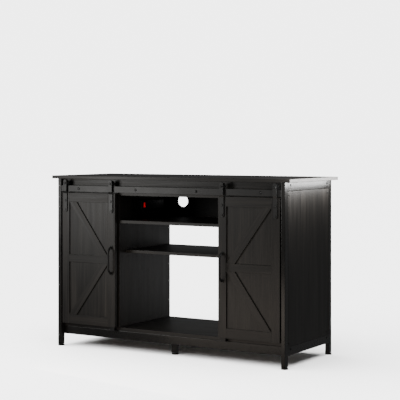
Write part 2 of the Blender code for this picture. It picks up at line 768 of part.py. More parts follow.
def rounded_path(corners, radius, steps):
    """A path through corner points, with each inner corner turned on a curve."""
    path = [corners[0]]
    for before, corner, after in zip(corners, corners[1:], corners[2:]):
        start = corner + (before - corner).normalized() * radius
        end = corner + (after - corner).normalized() * radius
        for i in range(steps + 1):
            t = i / steps
            path.append(start.lerp(corner, t).lerp(corner.lerp(end, t), t))
    path.append(corners[-1])
    return path


def handle(side, carrier):
    """A bow pull: a straight grip whose ends slope back to two round feet."""
    name = f"{SIDE_NAMES[side]}_handle"
    foot_z = HANDLE_SPACING / 2
    bar_z = foot_z - HANDLE_SLOPE
    neck = HANDLE_FOOT_HEIGHT + HANDLE_RADIUS
    out = HANDLE_REACH - HANDLE_RADIUS
    root = GAP + HANDLE_FOOT_HEIGHT / 2
    corners = [
        Vector((0, -root, -foot_z)),
        Vector((0, -neck, -foot_z)),
        Vector((0, -out, -bar_z)),
        Vector((0, -out, bar_z)),
        Vector((0, -neck, foot_z)),
        Vector((0, -root, foot_z)),
    ]
    curve = bpy.data.curves.new(name, "CURVE")
    curve.dimensions = "3D"
    curve.bevel_depth = HANDLE_RADIUS
    curve.bevel_resolution = 3
    curve.use_fill_caps = True
    path = rounded_path(corners, HANDLE_RADIUS * 0.8, 4)
    spline = curve.splines.new("POLY")
    spline.points.add(len(path) - 1)
    for point, place_on_path in zip(spline.points, path):
        point.co = (*place_on_path, 1)
    x = side * INNER_STRAP_X
    location = (x, DOOR_FACE, DOOR_MIDDLE_Z)
    grip = place(mesh_from_curve(curve, name), name, HARDWARE, location, carrier)
    for end, z in (("lower", -foot_z), ("upper", foot_z)):
        start = (x, DOOR_FACE - GAP - HANDLE_FOOT_HEIGHT, DOOR_MIDDLE_Z + z)
        tool_name = f"{end}_foot_{name}"
        foot = cylinder_tool(tool_name, start, HANDLE_FOOT_HEIGHT, HANDLE_FOOT_RADIUS, "Y")
        join(grip, foot)


def door_guide(side):
    """A nylon fin, screwed to the floor's front edge, that runs in the door's groove."""
    name = f"{SIDE_NAMES[side]}_door_guide"
    x = side * INNER_STRAP_X
    groove_y = (DOOR_FACE + DOOR_BACK) / 2
    half = GUIDE_WIDTH / 2
    fin = GUIDE_FIN_THICKNESS / 2
    top = BOTTOM_PANEL_BOTTOM + GUIDE_BASE_HEIGHT
    low = (x - half, groove_y - fin, BOTTOM_PANEL_BOTTOM)
    base = box(name, low, (x + half, FRONT_INSIDE, top), NYLON)
    high = (x + half - fin, groove_y + fin, DOOR_BOTTOM + GUIDE_FIN_HEIGHT)
    join(base, box_tool(f"fin_{name}", (x - half + fin, groove_y - fin, top - fin), high))


def door(side):
    """One hanging door; its carrier empty lies on the line of the track."""
    side_name = SIDE_NAMES[side]
    carrier = bpy.data.objects.new(f"{side_name}_door_carrier", None)
    PARTS.objects.link(carrier)
    middle_x = side * (DOOR_OUTER_X - DOOR_WIDTH / 2)
    carrier.location = (middle_x, TRACK_MIDDLE_Y, TRACK_TOP)
    door_leaf(side, carrier)
    handle(side, carrier)
    for end, x in (("outer", OUTER_STRAP_X), ("inner", INNER_STRAP_X)):
        hanger(f"{side_name}_{end}_hanger", side * x, carrier)
        axle_bolt(f"{side_name}_{end}_axle_bolt", side * x, carrier)
        wheel(f"{side_name}_{end}_wheel", side * x, carrier)
    door_guide(side)


# ---------------------------------------------------------------- power strip


def power_strip():
    """Socket strip on the left partition, its face towards +X."""
    back = -BAY_X + GAP
    face = back + STRIP_THICKNESS
    rear = BACK_PANEL_FRONT - STRIP_CABLE_ROOM - GLAND_LENGTH
    front = rear - STRIP_LENGTH
    half = STRIP_HEIGHT / 2
    low = (back, front, STRIP_MIDDLE_Z - half)
    body = box("power_strip", low, (face, rear, STRIP_MIDDLE_Z + half), PLASTIC)
    first = front + 2 * ROCKER_INSET + OUTLET_WIDTH / 2
    for number in range(OUTLET_COUNT):
        y = first + number * OUTLET_PITCH
        low = (face - OUTLET_RECESS, y - OUTLET_WIDTH / 2, STRIP_MIDDLE_Z - OUTLET_HEIGHT / 2)
        high = (face + BOARD, y + OUTLET_WIDTH / 2, STRIP_MIDDLE_Z + OUTLET_HEIGHT / 2)
        cut(body, box_tool(f"outlet_{number + 1}", low, high))
    gland_start = (back + STRIP_THICKNESS / 2, rear - GLAND_RADIUS, STRIP_MIDDLE_Z)
    length = GLAND_LENGTH + GLAND_RADIUS
    join(body, cylinder_tool("cord_gland", gland_start, length, GLAND_RADIUS, "Y"))
    rocker(body, face, front + ROCKER_INSET)


def rocker(body, face, middle_y):
    """The lit rocker, turned to its pressed position about its own pivot."""
    half = ROCKER_HEIGHT / 2
    pivot = (face - ROCKER_SUNK, middle_y, STRIP_MIDDLE_Z)
    outline = [
        (ROCKER_HOLLOW, 0),
        (ROCKER_LIP, half),
        (-ROCKER_BACK, half),
        (-ROCKER_BACK, -half),
        (ROCKER_LIP, -half),
    ]
    mesh = prism_mesh("power_switch", outline, "XZ", ROCKER_WIDTH)
    obj = place(mesh, "power_switch", ROCKER_RED, pivot)
    obj.rotation_euler = (0, -ROCKER_TILT, 0)
    swing = math.hypot(max(ROCKER_LIP, ROCKER_BACK), half) + GAP
    depth = ROCKER_BACK + half * math.sin(ROCKER_TILT) + GAP
    side = ROCKER_WIDTH / 2 + GAP
    low = (pivot[0] - depth, middle_y - side, STRIP_MIDDLE_Z - swing)
    high = (face + BOARD, middle_y + side, STRIP_MIDDLE_Z + swing)
    cut(body, box_tool("rocker_pocket", low, high))


# ---------------------------------------------------------------- assembly

posts_and_corner_feet()
side_rails()
long_rails()
centre_support()
top_board()
fascia_board()
bottom_panel()
side_panels()
partitions()
shelves()
back_panels()
track_bar()
track_bolts()
for door_side in (LEFT, RIGHT):
    door(door_side)
power_strip()
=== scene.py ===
"""Looks of the aquarium stand cabinet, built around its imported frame.

Each piece is shaped in place, in metres, and rides on the body that carries it.
"""

import json
import math

import bmesh
import bpy
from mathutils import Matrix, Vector

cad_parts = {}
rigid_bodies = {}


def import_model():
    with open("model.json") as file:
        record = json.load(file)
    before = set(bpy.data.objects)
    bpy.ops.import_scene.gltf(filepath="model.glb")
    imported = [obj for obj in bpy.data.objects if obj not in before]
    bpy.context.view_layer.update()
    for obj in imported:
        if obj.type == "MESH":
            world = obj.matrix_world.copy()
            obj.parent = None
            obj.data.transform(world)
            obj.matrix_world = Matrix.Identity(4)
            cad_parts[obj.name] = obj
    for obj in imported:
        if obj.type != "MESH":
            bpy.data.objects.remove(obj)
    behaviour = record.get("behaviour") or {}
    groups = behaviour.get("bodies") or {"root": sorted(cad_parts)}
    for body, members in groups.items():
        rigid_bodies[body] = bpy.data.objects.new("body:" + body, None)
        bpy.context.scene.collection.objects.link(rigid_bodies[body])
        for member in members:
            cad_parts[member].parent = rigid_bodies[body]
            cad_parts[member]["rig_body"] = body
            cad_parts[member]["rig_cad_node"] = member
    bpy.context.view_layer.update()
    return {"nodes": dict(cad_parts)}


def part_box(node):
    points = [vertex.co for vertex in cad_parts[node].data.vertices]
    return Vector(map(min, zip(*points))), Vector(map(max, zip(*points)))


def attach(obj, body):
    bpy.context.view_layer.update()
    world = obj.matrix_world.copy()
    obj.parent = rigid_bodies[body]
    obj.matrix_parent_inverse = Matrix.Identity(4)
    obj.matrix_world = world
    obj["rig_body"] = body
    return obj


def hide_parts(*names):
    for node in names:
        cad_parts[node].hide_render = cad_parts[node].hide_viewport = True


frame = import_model()

# ---------------------------------------------------------------- sizes of the details

TOUCH = 0.00001
SMOOTH_ANGLE = math.radians(13)
FIT_ROOM = 0.0003  # between pieces that meet
CUT_PAST = 0.01  # how far a cutter reaches past what it cuts
OVERLAP = 0.001  # how far joined shapes reach into each other

BOARD_THICKNESS = 0.015
BOARD_EASE = 0.0009
BATTEN_EASE = 0.0007
METAL_EASE = 0.0006  # straps, the track and shelf pins
TUBE_WALL = 0.0015
TUBE_CORNER = 0.0022
TUBE_BORE_DEPTH = 0.030
PLUG_SINK = 0.0008

RAIL_BOLT_RADIUS = 0.0052
RAIL_BOLT_HEIGHT = 0.0026
RAIL_BOLT_DROP = 0.013  # below a side rail's top edge
RAIL_BOLT_FRONT_INSET = 0.025  # from a side rail's front end
RAIL_BOLT_REAR_INSET = 0.019
PANEL_SCREW_RADIUS = 0.0042
PANEL_SCREW_HEIGHT = 0.0020
PANEL_SCREW_TOP_DROP = 0.017
PANEL_SCREW_BOTTOM_RISE = 0.014
PANEL_SCREW_FRONT_INSET = 0.009
PANEL_SCREW_REAR_INSET = 0.018

BATTEN_THICKNESS = 0.006
STILE_WIDTH = 0.042
DOOR_RAIL_HEIGHT = 0.045
MID_RAIL_HEIGHT = 0.036
BRACE_WIDTH = 0.044  # measured level, along a rail
GUIDE_GROOVE_WIDTH = 0.005
GUIDE_GROOVE_DEPTH = 0.009
GUIDE_BASE_HEIGHT = 0.010
GUIDE_FIN_THICKNESS = 0.0035

STRAP_THICKNESS = 0.005
STRAP_END_SHARE = 0.98  # of half the width, so that the rounds don't meet
CRANK_OFFSET = 0.005
CRANK_RISE = 0.012
CRANK_BELOW_DOOR_TOP = 0.004
STRAP_BOLT_RADIUS = 0.0056
STRAP_BOLT_HEIGHT = 0.003
STRAP_BOLT_PITCH = 0.045
AXLE_HEAD_HEIGHT = 0.0035
AXLE_HEAD_RADIUS = 0.0064
AXLE_NUT_RADIUS = AXLE_HEAD_RADIUS * 0.96
AXLE_NUT_HEIGHT = 0.0025
AXLE_NUT_RIM = 0.0012
AXLE_CAP_HEIGHT = 0.0018
SHANK_RADIUS = 0.004
WHEEL_ROLLING_RADIUS = 0.011
WHEEL_GROOVE = 0.0031  # from the wheel's middle to each side of its groove
WHEEL_RIM = 0.0022
WHEEL_DISH_WIDTH = 0.0045
WHEEL_DISH_DEPTH = 0.0007
SPACER_RADIUS = 0.0075
TRACK_BOLT_RADIUS = 0.0065
TRACK_BOLT_HEIGHT = 0.0036

HANDLE_RADIUS = 0.0048
HANDLE_SPACING = 0.126
HANDLE_SLOPE = 0.018
HANDLE_BEND = 0.0045
HANDLE_END_SINK = 0.0006  # in front of the door, inside a flange
HANDLE_FOOT_RADIUS = 0.009
HANDLE_FOOT_HEIGHT = 0.003
HANDLE_FOOT_RIM = 0.0022
HANDLE_FOOT_STEP = 0.0006

FOOT_PAD_HEIGHT = 0.0065
FOOT_PAD_STEP = 0.0012
FOOT_NUT_TOP = 0.009
FOOT_NUT_RADIUS = 0.0095
STEM_RADIUS = 0.0039
STEM_SINK = 0.0005  # into the nut
STEM_POINT = 0.0004

SHELF_PIN_RADIUS = 0.0025
SHELF_PIN_LENGTH = 0.008
SHELF_PIN_INSET = 0.060

STRIP_EDGE = 0.0028
GLAND_LENGTH = 0.010
GLAND_RADIUS = 0.006
GLAND_WALL = 0.0015
GLAND_BORE_DEPTH = 0.003
SWITCH_ROOM = 0.0006
BEZEL_WIDTH = 0.0022
BEZEL_SINK = 0.0004
BEZEL_RISE = 0.0009
OUTLETS = 3
FIRST_OUTLET = 0.063  # from the strip's front end to the outlet's middle
OUTLET_PITCH = 0.048
OUTLET_HALF_LENGTH = 0.017
OUTLET_HALF_HEIGHT = 0.015
OUTLET_DEPTH = 0.0022
OUTLET_FACE_SINK = 0.0006
OUTLET_FACE_ROOM = 0.0004
SOCKET_DEPTH = 0.002
BLADE_OFFSET = 0.0063  # from the outlet's middle
BLADE_HALF_WIDTH = 0.0011
BLADE_LOW = 0.001  # below the outlet's middle
BLADE_HIGH = 0.0065
EARTH_DROP = 0.0075
EARTH_RADIUS = 0.0024

# ---------------------------------------------------------------- hand tools


def object_mode():
    if bpy.context.object is not None and bpy.context.object.mode != "OBJECT":
        bpy.ops.object.mode_set(mode="OBJECT")


def nothing_selected():
    object_mode()
    bpy.ops.object.select_all(action="DESELECT")


def only(piece):
    """Select one piece and make it the active one."""
    nothing_selected()
    piece.select_set(True)
    bpy.context.view_layer.objects.active = piece


def settle(piece):
    """Put a piece's place, turn and scale into its mesh."""
    only(piece)
    bpy.ops.object.transform_apply(location=True, rotation=True, scale=True)


def named(piece, name):
    piece.name = name
    piece.data.name = name
    return piece


def block(name, low, high, turn=(0, 0, 0)):
    """A block between two corners, turned about its middle."""
    nothing_selected()
    size = Vector(high) - Vector(low)
    middle = Vector(low) + size / 2
    bpy.ops.mesh.primitive_cube_add(size=1, location=middle, rotation=turn, scale=size)
    piece = named(bpy.context.object, name)
    settle(piece)
    return piece


def rod(name, start, way, length, radius, sides=40):
    """A round or six-sided bar that starts at a point and runs one way."""
    nothing_selected()
    way = Vector(way).normalized()
    middle = Vector(start) + way * length / 2
    turn = way.to_track_quat("Z", "Y").to_euler()
    bpy.ops.mesh.primitive_cylinder_add(
        vertices=sides, radius=radius, depth=length, location=middle, rotation=turn
    )
    piece = named(bpy.context.object, name)
    settle(piece)
    return piece


def edit(piece, kind):
    only(piece)
    bpy.ops.object.mode_set(mode="EDIT")
    bpy.ops.mesh.select_mode(type=kind)
    bpy.ops.mesh.select_all(action="DESELECT")


def pick_faces(piece, wanted):
    """Select the faces that a test of middle and normal accepts."""
    edit(piece, "FACE")
    work = bmesh.from_edit_mesh(piece.data)
    for face in work.faces:
        face.select_set(wanted(face.calc_center_median(), face.normal))
    bmesh.update_edit_mesh(piece.data)


def pick_edges(piece, wanted):
    """Select the edges that a test of middle and direction accepts."""
    edit(piece, "EDGE")
    work = bmesh.from_edit_mesh(piece.data)
    for edge in work.edges:
        start, end = (point.co for point in edge.verts)
        edge.select_set(wanted((start + end) / 2, (end - start).normalized()))
    bmesh.update_edit_mesh(piece.data)


def pick_points(piece, wanted):
    """Select the points that a test of their place accepts."""
    edit(piece, "VERT")
    work = bmesh.from_edit_mesh(piece.data)
    for point in work.verts:
        point.select_set(wanted(point.co))
    bmesh.update_edit_mesh(piece.data)


def extrude(move):
    bpy.ops.mesh.extrude_region_move(TRANSFORM_OT_translate={"value": Vector(move)})


def slice_at(piece, point, normal, **sides):
    """Cut a whole piece along a plane."""
    edit(piece, "VERT")
    bpy.ops.mesh.select_all(action="SELECT")
    bpy.ops.mesh.bisect(plane_co=point, plane_no=normal, **sides)
    object_mode()


def carve(piece, cutter):
    """Cut a shape out of a piece with another, which is used up."""
    only(piece)
    cut = piece.modifiers.new("cut", "BOOLEAN")
    cut.operation = "DIFFERENCE"
    cut.solver = "EXACT"
    cut.object = cutter
    bpy.ops.object.modifier_apply(modifier=cut.name)
    bpy.data.objects.remove(cutter)
    return piece


def smooth(piece):
    only(piece)
    bpy.ops.object.shade_smooth_by_angle(angle=SMOOTH_ANGLE)
    return piece


def ease(piece, width, segments=3, angle=35):
    """Round over every edge that is sharper than an angle."""
    only(piece)
    rounding = piece.modifiers.new("eased edges", "BEVEL")
    rounding.width = width
    rounding.segments = segments
    rounding.limit_method = "ANGLE"
    rounding.angle_limit = math.radians(angle)
    bpy.ops.object.modifier_apply(modifier=rounding.name)
    edit(piece, "VERT")
    bpy.ops.mesh.select_all(action="SELECT")
    bpy.ops.mesh.dissolve_degenerate(threshold=TOUCH / 2)
    object_mode()
    return smooth(piece)


def merged(piece, *others):
    """One piece from several."""
    only(piece)
    for other in others:
        other.select_set(True)
    bpy.ops.object.join()
    return piece


def moved_copy(piece, name, move):
    """A copy of a piece with its own mesh, moved to another place."""
    only(piece)
    bpy.ops.object.duplicate(linked=False)
    copy = named(bpy.context.object, name)
    copy.parent = None
    bpy.ops.transform.translate(value=Vector(move))
    settle(copy)
    return copy


def mirrored_copy(piece, name):
    """A copy of a piece on the other side of the stand's middle."""
    copy = moved_copy(piece, name, (0, 0, 0))
    bpy.ops.transform.resize(value=(-1, 1, 1), center_override=(0, 0, 0))
    settle(copy)
    edit(copy, "FACE")
    bpy.ops.mesh.select_all(action="SELECT")
    bpy.ops.mesh.normals_make_consistent(inside=False)
    object_mode()
    return copy


def eased_copy(node, width):
    """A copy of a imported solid's mesh with its edges eased."""
    only(frame["nodes"][node])
    bpy.ops.object.duplicate(linked=False)
    copy = named(bpy.context.object, f"{node}_piece")
    copy.parent = None
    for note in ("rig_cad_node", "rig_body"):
        if note in copy:
            del copy[note]
    edit(copy, "VERT")
    bpy.ops.mesh.select_all(action="SELECT")
    bpy.ops.mesh.remove_doubles(threshold=TOUCH)
    bpy.ops.mesh.dissolve_limited(angle_limit=math.radians(1))
    object_mode()
    return ease(copy, width)


def fitted(piece, finish, body="cabinet", *nodes):
    """Give a piece its finish, the body that carries it and the solids it stands for."""
    object_mode()
    piece.data.materials.clear()
    piece.data.materials.append(finish)
    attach(piece, body)
    if nodes:
        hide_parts(*nodes)
    return piece


# ---------------------------------------------------------------- finishes


def new_finish(name, roughness, specular=0.5, metallic=0.0):
    made = bpy.data.materials.new(name)
    made.use_nodes = True
    shader = made.node_tree.nodes["Principled BSDF"]
    shader.inputs["Roughness"].default_value = roughness
    shader.inputs["Specular IOR Level"].default_value = specular
    shader.inputs["Metallic"].default_value = metallic
    return made, made.node_tree, shader


def add_node(tree, kind, **values):
    node = tree.nodes.new(kind)
    for name, value in values.items():
        setattr(node, name, value)
    return node


def set_inputs(node, **values):
    for name, value in values.items():
        node.inputs[name.replace("_", " ")].default_value = value
    return node


def place_pattern(tree, scale, turn=(0, 0, 0)):
    """The object's own coordinates, turned and stretched for a pattern."""
    place = add_node(tree, "ShaderNodeTexCoord")
    turned = set_inputs(add_node(tree, "ShaderNodeMapping"), Rotation=turn)
    stretched = set_inputs(add_node(tree, "ShaderNodeMapping"), Scale=scale)
    tree.links.new(place.outputs["Object"], turned.inputs["Vector"])
    tree.links.new(turned.outputs["Vector"], stretched.inputs["Vector"])
    return stretched.outputs["Vector"]


def noise(tree, vector, detail, rough=0.5, distortion=0.0):
    """A cloudy pattern; place_pattern sets how fine it is."""
    node = set_inputs(
        add_node(tree, "ShaderNodeTexNoise"),
        Scale=1.0, Detail=detail, Roughness=rough, Distortion=distortion,
    )
    tree.links.new(vector, node.inputs["Vector"])
    return node.outputs["Fac"]


def blend_values(tree, first, second, share):
    """A mix of two patterns, with a share of the second."""
    node = add_node(tree, "ShaderNodeMix", data_type="FLOAT")
    node.inputs[0].default_value = share
    tree.links.new(first, node.inputs[2])
    tree.links.new(second, node.inputs[3])
    return node.outputs[0]


def colour_ramp(tree, value, stops):
    node = add_node(tree, "ShaderNodeValToRGB")
    ramp = node.color_ramp
    while len(ramp.elements) < len(stops):
        ramp.elements.new(0.5)
    for element, (place, colour) in zip(ramp.elements, stops):
        element.position = place
        element.color = (*colour, 1)
    tree.links.new(value, node.inputs["Fac"])
    return node.outputs["Color"]


def spread(tree, value, low, high):
    """A pattern's middle range stretched between two values."""
    node = add_node(tree, "ShaderNodeMapRange")
    set_inputs(node, From_Min=0.3, From_Max=0.7, To_Min=low, To_Max=high)
    tree.links.new(value, node.inputs["Value"])
    return node.outputs["Result"]


def bump(tree, shader, height, strength, distance):
    node = set_inputs(add_node(tree, "ShaderNodeBump"), Strength=strength, Distance=distance)
    tree.links.new(height, node.inputs["Height"])
    tree.links.new(node.outputs["Normal"], shader.inputs["Normal"])


def wood_finish(name, turn):
    """Black wood-grain foil; its grain runs along Z once turned."""
    made, tree, shader = new_finish(name, 0.48)
    figure = noise(tree, place_pattern(tree, (26, 26, 1.5), turn), 6, 0.62, 0.9)
    streaks = noise(tree, place_pattern(tree, (150, 150, 2.2), turn), 5, 0.6, 0.3)
    pores = noise(tree, place_pattern(tree, (620, 620, 9), turn), 3, 0.55)
    grain = blend_values(tree, figure, streaks, 0.45)
    grain = blend_values(tree, grain, pores, 0.22)
    stops = (
        (0.34, (0.0050, 0.0043, 0.0036)),
        (0.46, (0.0125, 0.0108, 0.0091)),
        (0.55, (0.0260, 0.0226, 0.0192)),
        (0.68, (0.0560, 0.0490, 0.0420)),
    )
    tree.links.new(colour_ramp(tree, grain, stops), shader.inputs["Base Color"])
    tree.links.new(spread(tree, streaks, 0.39, 0.56), shader.inputs["Roughness"])
    bump(tree, shader, blend_values(tree, streaks, pores, 0.5), 0.35, 0.0004)
    return made


def coated_finish(name, colour, roughness, speck, strength, specular=0.5):
    """A black coating with a fine texture and slight changes of tone."""
    made, tree, shader = new_finish(name, roughness, specular)
    cloud = noise(tree, place_pattern(tree, (7, 7, 7)), 4, 0.6)
    fine = noise(tree, place_pattern(tree, (speck, speck, speck)), 2)
    dark = tuple(value * 0.72 for value in colour)
    light = tuple(value * 1.35 for value in colour)
    tone = blend_values(tree, cloud, fine, 0.4)
    stops = ((0.35, dark), (0.5, colour), (0.65, light))
    tree.links.new(colour_ramp(tree, tone, stops), shader.inputs["Base Color"])
    dullness = spread(tree, tone, roughness - 0.05, roughness + 0.07)
    tree.links.new(dullness, shader.inputs["Roughness"])
    bump(tree, shader, fine, strength, 0.0003)
    return made


def hardboard_finish():
    """Dark pressed fibre."""
    made, tree, shader = new_finish("black hardboard", 0.6, 0.3)
    felt = noise(tree, place_pattern(tree, (95, 95, 95)), 6, 0.7, 1.6)
    fibres = noise(tree, place_pattern(tree, (900, 900, 420)), 2, 0.5, 0.5)
    tone = blend_values(tree, felt, fibres, 0.5)
    stops = (
        (0.36, (0.006, 0.0055, 0.005)),
        (0.50, (0.010, 0.0095, 0.009)),
        (0.64, (0.017, 0.016, 0.015)),
    )
    tree.links.new(colour_ramp(tree, tone, stops), shader.inputs["Base Color"])
    bump(tree, shader, tone, 0.4, 0.0004)
    return made


def threaded_finish():
    """Zinc-plated stem with a rolled thread; its colour is banded with the thread, the dark bands
    at the roots being painted shade.
    """
    made, tree, shader = new_finish("threaded stem, shade painted in its thread's roots", 0.36, 0.5, 1.0)
    thread = set_inputs(
        add_node(tree, "ShaderNodeTexWave", wave_type="BANDS", bands_direction="Z"),
        Scale=1.0, Distortion=0.0,
    )
    tree.links.new(place_pattern(tree, (0, 0, 250)), thread.inputs["Vector"])
    # painted shade: the thread's roots are darker in colour than its crests, following the same
    # bands as the bump
    stops = ((0.1, (0.06, 0.06, 0.058)), (0.9, (0.30, 0.30, 0.29)))
    tree.links.new(colour_ramp(tree, thread.outputs["Fac"], stops), shader.inputs["Base Color"])
    bump(tree, shader, thread.outputs["Fac"], 0.9, 0.0006)
    return made


def lit_finish():
    """Red translucent rocker with its lamp on."""
    made, tree, shader = new_finish("lit red rocker", 0.28)
    cloud = noise(tree, place_pattern(tree, (170, 170, 170)), 3)
    stops = ((0.35, (0.42, 0.002, 0.004)), (0.65, (0.80, 0.010, 0.014)))
    colour = colour_ramp(tree, cloud, stops)
    tree.links.new(colour, shader.inputs["Base Color"])
    tree.links.new(colour, shader.inputs["Emission Color"])
    shader.inputs["Emission Strength"].default_value = 0.6
    bump(tree, shader, cloud, 0.1, 0.0002)
    return made


ALONG_X = (0, math.radians(90), 0)
ALONG_Z = (0, 0, 0)
WOOD_X = wood_finish("black wood, grain along X", ALONG_X)
WOOD_Z = wood_finish("black wood, grain along Z", ALONG_Z)
STEEL = coated_finish(
    "powder-coated steel", (0.0110, 0.0102, 0.0092), 0.27,
    speck=1300, strength=0.16,
)
HARDWARE = coated_finish(
    "black hardware", (0.0110, 0.0106, 0.0100), 0.44,
    speck=1700, strength=0.10, specular=0.6,
)
NYLON = coated_finish(
    "black nylon", (0.0080, 0.0080, 0.0080), 0.45,
    speck=2200, strength=0.12,
)
PLASTIC = coated_finish(
    "black plastic", (0.0110, 0.0110, 0.0110), 0.38,
    speck=2600, strength=0.22,
)
BACKING = hardboard_finish()
THREAD = threaded_finish()
LIT_RED = lit_finish()

# ---------------------------------------------------------------- bolts and screws


def dome_bolt(name, seat, way, radius, height):
    """A button head with a six-sided socket."""
    way = Vector(way)
    head = rod(name, seat, way, height, radius)
    top = (Vector(seat) + way * height).dot(way)
    pick_edges(head, lambda middle, line: abs(middle.dot(way) - top) < TOUCH)
    bpy.ops.mesh.bevel(offset=height * 0.72, segments=4, affect="EDGES")
    object_mode()
    socket = Vector(seat) + way * height * 0.45
    carve(head, rod("socket", socket, way, height, radius * 0.42, 6))
    return smooth(head)


def hex_bolt(name, seat, way, radius, height):
    """A six-sided head with a chamfered top, on a thin washer."""
    way = Vector(way)
    top = Vector(seat) + way * height
    washer = rod(f"{name}_washer", seat, way, height * 0.28, radius)
    ease(washer, height * 0.08, 2)
    start = Vector(seat) + way * height * 0.26
    head = rod(name, start, way, height * 0.60, radius * 0.92, 6)
    pick_faces(head, lambda middle, normal: normal.dot(way) > 0.9)
    extrude(way * height * 0.14)
    bpy.ops.transform.resize(value=(0.86, 0.86, 0.86), center_override=top)
    object_mode()
    return smooth(merged(head, washer))


def pan_screw(name, seat, way, radius, height):
    """A pan head with a crossed recess."""
    way = Vector(way)
    head = rod(name, seat, way, height, radius)
    top = (Vector(seat) + way * height).dot(way)
    pick_edges(head, lambda middle, line: abs(middle.dot(way) - top) < TOUCH)
    bpy.ops.mesh.bevel(offset=height * 0.8, segments=4, affect="EDGES")
    object_mode()
    middle = Vector(seat) + way * height
    for half_y, half_z in ((0.55, 0.13), (0.13, 0.55)):
        reach = Vector((abs(way.x) * height * 0.5, half_y * radius, half_z * radius))
        carve(head, block("cross", middle - reach, middle + reach))
    return smooth(head)


# ---------------------------------------------------------------- steel frame


def steel_tube(node, run):
    """A tube with rounded corners; run is 0 for X, 1 for Y, 2 for Z.

    Its ends are open, except an upright tube's lower end, which has a plug.
    """
    low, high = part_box(node)
    tube = block(f"{node}_tube", low, high)
    pick_edges(tube, lambda middle, way: abs(way[run]) > 0.9)
    bpy.ops.mesh.bevel(offset=TUBE_CORNER, segments=3, affect="EDGES")
    for end, way in ((low[run], 1), (high[run], -1)):
        pick_faces(
            tube,
            lambda middle, normal: abs(middle[run] - end) < TOUCH and normal[run] * way < -0.9,
        )
        bpy.ops.mesh.inset(thickness=TUBE_WALL)
        move = Vector((0, 0, 0))
        plugged = run == 2 and way > 0
        move[run] = way * (PLUG_SINK if plugged else TUBE_BORE_DEPTH)
        extrude(move)
    return fitted(smooth(tube), STEEL, "cabinet", node)


def steel_frame():
    for side in ("left", "right"):
        for end in ("front", "rear"):
            steel_tube(f"{end}_{side}_post", 2)
        for level in ("top", "bottom"):
            steel_tube(f"{side}_{level}_side_rail", 1)
    for node in ("front_bottom_rail", "rear_bottom_rail", "front_top_rail", "rear_top_rail"):
        steel_tube(node, 0)
    steel_tube("centre_cross_bar", 1)
    for end in ("front", "rear"):
        steel_tube(f"centre_{end}_leg", 2)


def fixing_pair(first, name, move):
    """A moved copy of a fixing on the right side, and its mirrored copy on the left."""
    right = moved_copy(first, f"right_{name}", move)
    left = mirrored_copy(right, f"left_{name}")
    fitted(right, HARDWARE)
    fitted(left, HARDWARE)


def rail_bolts():
    """The bolts through the side rails that hold the long rails."""
    low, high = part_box("right_top_side_rail")
    seat = (high.x, low.y + RAIL_BOLT_FRONT_INSET, high.z - RAIL_BOLT_DROP)
    first = dome_bolt("rail_bolt", seat, (1, 0, 0), RAIL_BOLT_RADIUS, RAIL_BOLT_HEIGHT)
    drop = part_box("right_bottom_side_rail")[1].z - high.z
    rear = (high.y - RAIL_BOLT_REAR_INSET) - (low.y + RAIL_BOLT_FRONT_INSET)
    for level, down in (("top", 0), ("bottom", drop)):
        for end, back in (("front", 0), ("rear", rear)):
            fixing_pair(first, f"{level}_{end}_rail_bolt", (0, back, down))
    bpy.data.objects.remove(first)


def panel_screws():
    """The screws at the corners of the side panels."""
    low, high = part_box("right_side_panel")
    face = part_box("right_bottom_side_rail")[1].x
    front = low.y + PANEL_SCREW_FRONT_INSET
    bottom = low.z + PANEL_SCREW_BOTTOM_RISE
    seat = (face, front, bottom)
    first = pan_screw("panel_screw", seat, (1, 0, 0), PANEL_SCREW_RADIUS, PANEL_SCREW_HEIGHT)
    up = high.z - PANEL_SCREW_TOP_DROP - bottom
    back = high.y - PANEL_SCREW_REAR_INSET - front
    for level, rise in (("bottom", 0), ("top", up)):
        for end, reach in (("front", 0), ("rear", back)):
            fixing_pair(first, f"{level}_{end}_panel_screw", (0, reach, rise))
    bpy.data.objects.remove(first)


def levelling_feet():
    """Six pads with a hex collar and a threaded stem."""
    low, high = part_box("centre_front_foot")
    middle = (low + high) / 2
    centre = Vector((middle.x, middle.y, 0))
    radius = (high.x - low.x) / 2
    pad = rod("foot_pad", centre, (0, 0, 1), FOOT_PAD_HEIGHT, radius, 48)
    pick_faces(pad, lambda place, normal: normal.z > 0.9)
    bpy.ops.mesh.inset(thickness=radius * 0.12)
    extrude((0, 0, FOOT_PAD_STEP))
    pick_faces(pad, lambda place, normal: normal.z < -0.9)
    bpy.ops.mesh.inset(thickness=radius * 0.10)
    ease(pad, 0.0005)
    nut_start = centre + Vector((0, 0, FOOT_PAD_HEIGHT))
    nut_height = FOOT_NUT_TOP - FOOT_PAD_HEIGHT
    nut = rod("foot_nut", nut_start, (0, 0, 1), nut_height, FOOT_NUT_RADIUS, 6)
    ease(nut, 0.0004, 2)
    stem_start = centre + Vector((0, 0, FOOT_NUT_TOP - STEM_SINK))
    stem = rod("foot_stem", stem_start, (0, 0, 1), high.z - FOOT_NUT_TOP, STEM_RADIUS, 32)
    pick_faces(stem, lambda place, normal: normal.z > 0.9)
    bpy.ops.mesh.inset(thickness=STEM_RADIUS * 0.3)
    bpy.ops.transform.translate(value=(0, 0, STEM_POINT))
    smooth(stem)
    corners = ("front_left", "front_right", "rear_left", "rear_right")
    for place in (*corners, "centre_front", "centre_rear"):
        body = f"{place}_foot"
        place_low, place_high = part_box(body)
        move = (place_low + place_high) / 2 - middle
        fitted(moved_copy(pad, f"{body}_pad", move), NYLON, body, body)
        fitted(moved_copy(nut, f"{body}_nut", move), THREAD, body)
        fitted(moved_copy(stem, f"{body}_stem", move), THREAD, body)
    for used in (pad, nut, stem):
        bpy.data.objects.remove(used)


# ---------------------------------------------------------------- boards


def board(node, finish):
    """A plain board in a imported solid's box."""
    low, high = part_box(node)
    return fitted(ease(block(f"{node}_piece", low, high), BOARD_EASE), finish, "cabinet", node)


